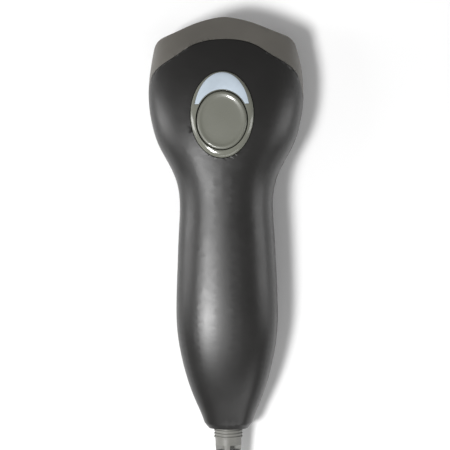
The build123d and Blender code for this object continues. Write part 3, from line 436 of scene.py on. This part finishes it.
def oval_rings(name, half_width, half_length, rings, points=96):
    """Closed piece of stacked ovals, each as far outside the first oval and as high as its ring says."""
    nothing_selected()
    bpy.ops.mesh.primitive_circle_add(vertices=points, radius=1.0, fill_type="NGON")
    piece = bpy.context.object
    piece.name = name
    bpy.ops.object.mode_set(mode="EDIT")
    bpy.ops.mesh.select_all(action="SELECT")
    width, length, level = 1.0, 1.0, 0.0
    for index, (grow, height) in enumerate(rings):
        if index:
            bpy.ops.mesh.extrude_region_move()
        wide, long = half_width + grow, half_length + grow
        bpy.ops.transform.resize(value=(wide / width, long / length, 1.0), center_override=(0, 0, level))
        bpy.ops.transform.translate(value=(0, 0, height - level))
        width, length, level = wide, long, height
    bpy.ops.mesh.select_all(action="SELECT")
    bpy.ops.mesh.normals_make_consistent(inside=False)
    bpy.ops.object.mode_set(mode="OBJECT")
    return piece


def move_mesh(piece, place):
    piece.data.transform(Matrix.Translation(place))


def surface(node):
    """Search tree of a CAD node's faces, for drops from above."""
    mesh = NODES[node].data
    corners = [vertex.co.copy() for vertex in mesh.vertices]
    return BVHTree.FromPolygons(corners, [list(face.vertices) for face in mesh.polygons])


DROP_FROM = 0.2  # above everything


def fall(tree, x, y):
    """Height at which a drop from above lands, or None."""
    place = tree.ray_cast(Vector((x, y, DROP_FROM)), Vector((0, 0, -1)))[0]
    return place.z if place else None


CROWN_OVALS = (1.06, 1.14, 1.22, 1.30)  # sizes of the ovals of drops, against the surround's
CROWN_DROPS = 48  # drops on each oval


class Crown:
    """Height of the head's top round the button: a curved sheet through points of the shell."""

    def __init__(self, place, half_width, half_length):
        self.middle = place
        shell = surface("upper_shell")
        landed = []
        for share in CROWN_OVALS:
            for step in range(CROWN_DROPS):
                angle = 2 * math.pi * step / CROWN_DROPS
                x = place.x + share * half_width * math.cos(angle)
                y = place.y + share * half_length * math.sin(angle)
                height = fall(shell, x, y)
                if height:
                    landed.append((x, y, height))
        top = np.array(landed)
        self.share = np.linalg.lstsq(self.terms(top), top[:, 2], rcond=None)[0]

    def terms(self, corners):
        x = corners[:, 0] / MM
        y = (corners[:, 1] - self.middle.y) / MM
        return np.stack([np.ones_like(x), y, x * x, y * y, x * x * y, y * y * y], axis=1)

    def drape(self, piece):
        """Raises a piece that was modelled about level 0 onto the sheet."""
        corners = np.array([vertex.co[:] for vertex in piece.data.vertices])
        for vertex, rise in zip(piece.data.vertices, self.terms(corners) @ self.share):
            vertex.co.z += rise


# ------------------------------------------------------------------ stage
CAMERA_AWAY = 0.54
CAMERA_TILT = 5.5  # degrees, towards the right
CAMERA_TURN = -0.3
AIM = Vector((-0.0005, 0.0125, 0.016))
LENS = 98.0

LIGHTS_AIM = Vector((0.0, 0.0, 0.01))
# Name, place, size and power of each light
LIGHTS = [
    ("key", (-0.31, -0.20, 0.80), (0.20, 0.20), 7.0),
    ("left_softbox", (-0.95, 0.05, 0.22), (0.25, 1.0), 5.0),
    ("right_softbox", (0.95, 0.0, 0.28), (0.30, 1.0), 3.5),
    ("rear_fill", (0.25, -1.0, 0.62), (1.2, 0.4), 3.8),
]
WORLD_STRENGTH = 0.17


class SCANNER_OT_stage(bpy.types.Operator):
    """Camera from nearly straight above, soft studio light and a white floor"""

    bl_idname = "scanner.stage"
    bl_label = "Stage"

    def execute(self, context):
        scene = context.scene
        scene.view_settings.view_transform = "Standard"
        camera_data = bpy.data.cameras.new("camera")
        camera = bpy.data.objects.new("camera", camera_data)
        scene.collection.objects.link(camera)
        camera_data.lens = LENS
        camera_data.clip_start = 0.01
        tilt = Matrix.Rotation(math.radians(CAMERA_TILT), 4, "Y")
        turn = tilt @ Matrix.Rotation(math.radians(CAMERA_TURN), 4, "Z")
        camera.matrix_world = Matrix.Translation(AIM) @ turn @ Matrix.Translation((0, 0, CAMERA_AWAY))
        scene.camera = camera
        self.floor(scene)
        self.lights(scene)
        return {"FINISHED"}

    def floor(self, scene):
        nothing_selected()
        bpy.ops.mesh.primitive_plane_add(size=6.0, location=(0, 0, 0))
        floor = bpy.context.object
        floor.name = "floor"
        white = Finish("white_floor", base_color=(0.9, 0.9, 0.9), roughness=0.9, specular_ior_level=0.2)
        floor.data.materials.append(white.material)

    def lights(self, scene):
        world = bpy.data.worlds.new("studio")
        world.use_nodes = True
        world.node_tree.nodes["Background"].inputs["Color"].default_value = (1.0, 1.0, 1.0, 1.0)
        world.node_tree.nodes["Background"].inputs["Strength"].default_value = WORLD_STRENGTH
        scene.world = world
        for name, place, size, power in LIGHTS:
            light = bpy.data.lights.new(name, "AREA")
            light.shape = "RECTANGLE"
            light.size, light.size_y = size
            light.energy = power
            lamp = bpy.data.objects.new(name, light)
            scene.collection.objects.link(lamp)
            aim = (LIGHTS_AIM - Vector(place)).to_track_quat("-Z", "Y")
            lamp.matrix_world = Matrix.Translation(place) @ aim.to_matrix().to_4x4()


# ------------------------------------------------------------------ cable
# The route, in millimetres: right of the exit, behind it, and the height of the cable's middle
FLOOR = 2.3  # height of a cable that lies on the surface
LEAD = [(0, 0), (0, 12), (2.5, 31), (9, 50), (17.5, 68)]
LEAD_LEVELS = [None, None, FLOOR, FLOOR, FLOOR]  # None is the height of the exit
COIL_MIDDLE = (-18.0, 86.0)
COIL_RADIUS = 27.0
CLIMB = 1.6  # how fast the cable climbs onto the second layer, in layers a turn
LAYER_SHARE = 0.98  # height between the layers, against the diameter
TAIL = [(-56.2, 75, 6.6), (-53.5, 64, 5.2), (-49.8, 55.5, 4.1), (-48.5, 46.5, 3.95)]
CABLE_BLACK = (0.012, 0.012, 0.012)


def cable_point(right, behind, level):
    """A point from its place right of the exit and behind it, and its height, in millimetres."""
    return (right * MM, CABLE_EXIT.y - behind * MM, level * MM)


def coil_points(turns, per_turn, diameter):
    """Two layers of turns: inwards along the floor, then outwards on top."""
    count = round(turns * per_turn)
    half = turns / 2
    outer = COIL_RADIUS + half / 2 * diameter
    points = []
    for step in range(1, count + 1):
        done = step / per_turn
        in_layer = done if done <= half else turns - done
        radius = outer - in_layer * diameter
        rise = min(max((done - half) * CLIMB + 0.5, 0.0), 1.0)
        level = FLOOR + diameter * rise * LAYER_SHARE
        angle = -2 * math.pi * done
        right, behind = COIL_MIDDLE[0] + radius * math.cos(angle), COIL_MIDDLE[1] - radius * math.sin(angle)
        points.append((right, behind, level))
    return points


class SCANNER_OT_cable(bpy.types.Operator):
    """The cable: out of the strain relief, down to the surface, wound in a coil, and on to its plug"""

    bl_idname = "scanner.cable"
    bl_label = "Cable"

    def execute(self, context):
        diameter = sizes().cable_diameter
        exit_level = CABLE_EXIT.z / MM
        points = [(x, y, exit_level if level is None else level) for (x, y), level in zip(LEAD, LEAD_LEVELS)]
        points += coil_points(sizes().coil_turns, sizes().turn_points, diameter / MM)
        points += TAIL
        curve = bpy.data.curves.new("cable", "CURVE")
        curve.dimensions = "3D"
        spline = curve.splines.new("NURBS")
        spline.points.add(len(points) - 1)
        for control, point in zip(spline.points, points):
            control.co = (*cable_point(*point), 1.0)
        spline.order_u = 3
        spline.use_endpoint_u = True
        spline.resolution_u = 5
        curve.bevel_depth = diameter / 2
        curve.bevel_resolution = 5
        curve.use_fill_caps = True
        cable = bpy.data.objects.new("cable", curve)
        context.scene.collection.objects.link(cable)
        jacket = soft_rubber("cable_jacket", CABLE_BLACK, 0.42)
        finish_piece(cable, "housing", "cable_jacket", jacket, "cable_lead", "cable_coil", "cable_tail")
        return {"FINISHED"}


# ------------------------------------------------------------------ shells
class SCANNER_OT_shells(bpy.types.Operator):
    """Upper shell, lower shell and nose cover"""

    bl_idname = "scanner.shells"
    bl_label = "Shells"

    def execute(self, context):
        black = black_housing()
        for node, slot_name, material in (
            ("upper_shell", "black_plastic", black),
            ("lower_shell", "black_plastic", black),
            ("nose_cover", "grey_plastic", moulded("grey_nose", colours().nose, 0.0004, 0.42, 0.02 * MM)),
        ):
            piece = merged_copy(node, node + "_skin")
            finish_piece(piece, "housing", slot_name, material, node)
        return {"FINISHED"}


# ------------------------------------------------------------------ button group
TRIM_FLANGE = 1.4 * MM  # of the surround, under the shell
BUTTON_LIP = 1.35 * MM  # of the button, under the surround
SURROUND_DEEP = 3.0 * MM
LENS_WIDE = 1.7 * MM  # surround beside the indicator lens, and ahead of it
LENS_AHEAD = 0.6 * MM
LENS_BRIDGE = 0.8 * MM  # from the button's edge to the indicator lens
LENS_TIPS_AHEAD = 7.0 * MM
LENS_ROOM = 0.10 * MM  # between the indicator lens and the surround
BUTTON_GAP = 0.45 * MM
THROUGH = 8.0 * MM  # half the height of a column that cuts through the surround
HOLE_THROUGH = 20.0 * MM  # the same, of the button's hole
BLOCK = 100.0 * MM  # cube that cuts the crescent off behind its tips
ROUND_OVER = math.radians(50)  # edges that turn by more than this are rounded
SURROUND_SMOOTH = 40.0
CAP_SMOOTH = 50.0
# Profiles from the edge inwards, in millimetres: outside the outline, and above the head's top
SWELL = [(0.0, 0.0), (-0.12, 0.30), (-0.4, 0.62), (-0.9, 0.92), (-1.6, 1.12), (-2.5, 1.2), (-4.0, 1.17),
         (-6.0, 1.12), (-8.0, 1.08), (-10.0, 1.05), (-12.0, 1.03), (-13.5, 1.02)]
CAP_UNDER = [(-2.0, -1.5), (-2.0, -4.6), (1.35, -4.6), (1.35, -3.55), (0.0, -3.55)]
CAP_TOP = [(0.0, 0.30), (-0.10, 0.55), (-0.32, 0.76), (-0.7, 0.88), (-1.15, 0.88), (-1.6, 0.74), (-2.0, 0.52),
           (-2.5, 0.40), (-3.4, 0.30), (-5.0, 0.22), (-7.0, 0.17), (-9.0, 0.14), (-10.0, 0.13), (-10.7, 0.13)]


def half_sizes(node):
    low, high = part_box(node)
    return (high.x - low.x) / 2, (high.y - low.y) / 2


def in_metres(rings):
    return [(grow * MM, height * MM) for grow, height in rings]


class SCANNER_OT_button(bpy.types.Operator):
    """Button surround, indicator lens and trigger button"""

    bl_idname = "scanner.button"
    bl_label = "Button group"

    def execute(self, context):
        wide, long = half_sizes("button_trim")
        self.egg = (wide - TRIM_FLANGE, long - TRIM_FLANGE)
        wide, long = half_sizes("trigger_button")
        self.button = (wide - BUTTON_LIP, long - BUTTON_LIP)
        self.egg_place = middle("button_trim")
        self.button_place = middle("trigger_button")
        self.crown = Crown(self.egg_place, *self.egg)
        self.surround()
        self.lens()
        self.cap()
        return {"FINISHED"}

    def upright(self, name, half, grow, deep, place):
        """Straight oval column, as far outside the half sizes as grow says."""
        column = oval_rings(name, *half, [(grow, -deep), (grow, deep)])
        move_mesh(column, (place.x, place.y, 0.0))
        return column

    def dome(self, name):
        """The surround's whole swelling form, before the button and lens are cut out of it."""
        dome = oval_rings(name, *self.egg, [(0.0, -SURROUND_DEEP)] + in_metres(SWELL))
        move_mesh(dome, (self.egg_place.x, self.egg_place.y, 0.0))
        return dome

    def crescent(self, grow):
        """Upright column of the indicator lens's outline."""
        wide, long = self.egg
        outline = (wide - LENS_WIDE, long - LENS_AHEAD)
        column = self.upright("crescent", outline, grow, THROUGH, self.egg_place)
        room = LENS_BRIDGE - grow
        cut(column, self.upright("crescent_hole", self.button, room, 2 * THROUGH, self.button_place))
        nothing_selected()
        tips = self.button_place.y + LENS_TIPS_AHEAD - grow
        bpy.ops.mesh.primitive_cube_add(size=BLOCK, location=(0, tips - BLOCK / 2, 0))
        cut(column, bpy.context.object)
        return column

    def rounded(self, piece, width, segments):
        """Lays a piece on the head's top and rounds its edges."""
        self.crown.drape(piece)
        apply_modifier(piece, "BEVEL", width=width, segments=segments, limit_method="ANGLE",
                       angle_limit=ROUND_OVER)
        settle(piece, SURROUND_SMOOTH)

    def surround(self):
        trim = self.dome("button_surround")
        cut(trim, self.crescent(LENS_ROOM))
        cut(trim, self.upright("button_hole", self.button, BUTTON_GAP, HOLE_THROUGH, self.button_place))
        self.rounded(trim, 0.10 * MM, 2)
        finish_piece(trim, "housing", "trim_plastic", glossy("glossy_trim", colours().trim), "button_trim")

    def lens(self):
        lens = self.dome("indicator_crescent")
        cut(lens, self.crescent(0.0), "INTERSECT")
        self.rounded(lens, 0.14 * MM, 3)
        finish_piece(lens, "housing", "lens_plastic", frosted_lens(), "indicator_lens")

    def cap(self):
        cap = oval_rings("trigger_cap", *self.button, in_metres(CAP_UNDER + CAP_TOP))
        move_mesh(cap, (self.button_place.x, self.button_place.y, 0.0))
        self.crown.drape(cap)
        settle(cap, CAP_SMOOTH)
        polish = glossy("glossy_button", tint(colours().trim, 0.95), 0.32)
        finish_piece(cap, "trigger", "button_plastic", polish, "trigger_button")


# ------------------------------------------------------------------ small pieces that keep their CAD shape
class SCANNER_OT_insides(bpy.types.Operator):
    """Finishes of the pieces that keep the shape the frame gives them"""

    bl_idname = "scanner.insides"
    bl_label = "Insides and fittings"

    def execute(self, context):
        finishes = {
            moulded("inner_black", (0.012, 0.012, 0.012), 0.0005, 0.6, 0.03 * MM): (
                "scan_hood", "optics_chassis", "lens_barrel", "switch_plunger", "cable_clamp"),
            dark_red_glass(): ("scan_window",),
            soft_rubber("soft_seal", (0.02, 0.02, 0.02)): ("window_gasket",),
            glossy("clear_plastic", (0.75, 0.76, 0.78), 0.08): (
                "light_spreader", "illumination_leds", "status_leds"),
            circuit_board(): ("led_board", "sensor_board", "main_board"),
            moulded("flat_cable", (0.66, 0.64, 0.57), 0.0006, 0.4, 0.01 * MM): ("led_ribbon",),
            chip_package(): (
                "image_sensor", "processor_chip", "memory_chip", "interface_chip", "buzzer", "tact_switch"),
            metal("tinned_steel", (0.72, 0.72, 0.71), 0.3): ("sensor_pins", "crystal", "usb_plug_shell"),
            optical_glass(): ("lens_glass",),
            metal("can_aluminium", (0.78, 0.78, 0.78), 0.28, (12.0, 1.0, 1.0)): ("capacitors",),
            moulded("fired_ceramic", (0.42, 0.31, 0.2), 0.0003, 0.5, 0.01 * MM): ("small_passives",),
            moulded("natural_nylon", (0.74, 0.73, 0.68), 0.0005, 0.45, 0.01 * MM): (
                "cable_header", "crimp_plug", "usb_plug_tongue"),
            soft_rubber("wire_jacket", (0.25, 0.03, 0.025), 0.4): ("harness_wires",),
            metal("zinc_screw", (0.62, 0.62, 0.6), 0.34): (
                "housing_screws", "board_screws", "chassis_screws", "clamp_screws"),
            metal("gold_flash", (0.83, 0.62, 0.28), 0.25): ("usb_contacts",),
            blank_paper(): ("rating_label",),
            soft_rubber("boot_rubber", colours().boot, 0.5): ("cable_boot",),
            soft_rubber("cable_core", CABLE_BLACK, 0.42): ("cable_inside", "usb_plug_body"),
            woven_strap(): ("coil_tie",),
        }
        for material, nodes in finishes.items():
            for node in nodes:
                mesh = NODES[node].data
                if not mesh.materials:
                    mesh.materials.append(material)
                for index in range(len(mesh.materials)):
                    mesh.materials[index] = material
        return {"FINISHED"}


# ------------------------------------------------------------------ panel and registration
STEPS = [SCANNER_OT_stage, SCANNER_OT_cable, SCANNER_OT_shells, SCANNER_OT_button, SCANNER_OT_insides]


class SCANNER_PT_panel(bpy.types.Panel):
    bl_label = "Barcode scanner"
    bl_idname = "SCANNER_PT_panel"
    bl_space_type = "VIEW_3D"
    bl_region_type = "UI"
    bl_category = "Scanner"

    def draw(self, context):
        for group in (sizes(), colours()):
            for name in group.__annotations__:
                self.layout.prop(group, name)
        for step in STEPS:
            self.layout.operator(step.bl_idname)


CLASSES = [ScannerSizes, ScannerColours, *STEPS, SCANNER_PT_panel]


def register():
    for item in CLASSES:
        bpy.utils.register_class(item)
    bpy.types.Scene.scanner_sizes = PointerProperty(type=ScannerSizes)
    bpy.types.Scene.scanner_colours = PointerProperty(type=ScannerColours)


def unregister():
    del bpy.types.Scene.scanner_colours
    del bpy.types.Scene.scanner_sizes
    for item in reversed(CLASSES):
        bpy.utils.unregister_class(item)


def main():
    register()
    for step in STEPS:
        group, name = step.bl_idname.split(".")
        getattr(getattr(bpy.ops, group), name)()
    bpy.context.view_layer.update()


if __name__ == "__main__":
    main()
